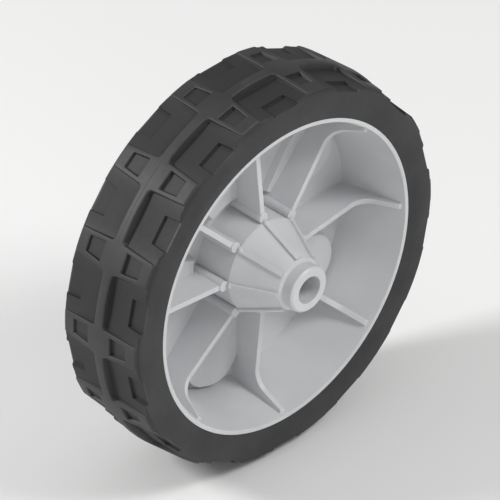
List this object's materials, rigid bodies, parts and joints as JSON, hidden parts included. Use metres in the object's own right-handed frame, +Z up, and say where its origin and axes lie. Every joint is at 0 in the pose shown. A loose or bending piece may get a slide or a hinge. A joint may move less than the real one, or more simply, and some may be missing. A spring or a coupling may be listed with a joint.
{
  "type": "lawn mower wheel",
  "caption": "Small push-mower wheel: block-tread rubber tyre on a moulded plastic rim with a finned dish, conical ridged hub and plain axle bore.",
  "frame": {"origin": "centre of the wheel: on the axle line at the tyre's mid-plane", "axes": "+Y along the axle, away from the machine; -Y is the machine side with the hub nose; +Z up; +X runs across the wheel"},
  "size_m": [0.18, 0.0604, 0.18],
  "materials": {
    "rim_plastic": "satin moulded polypropylene",
    "tyre_rubber": "matte moulded rubber"
  },
  "bodies": {
    "root": {"rim": "rim_plastic", "tyre": "tyre_rubber"}
  },
  "joints": []
}
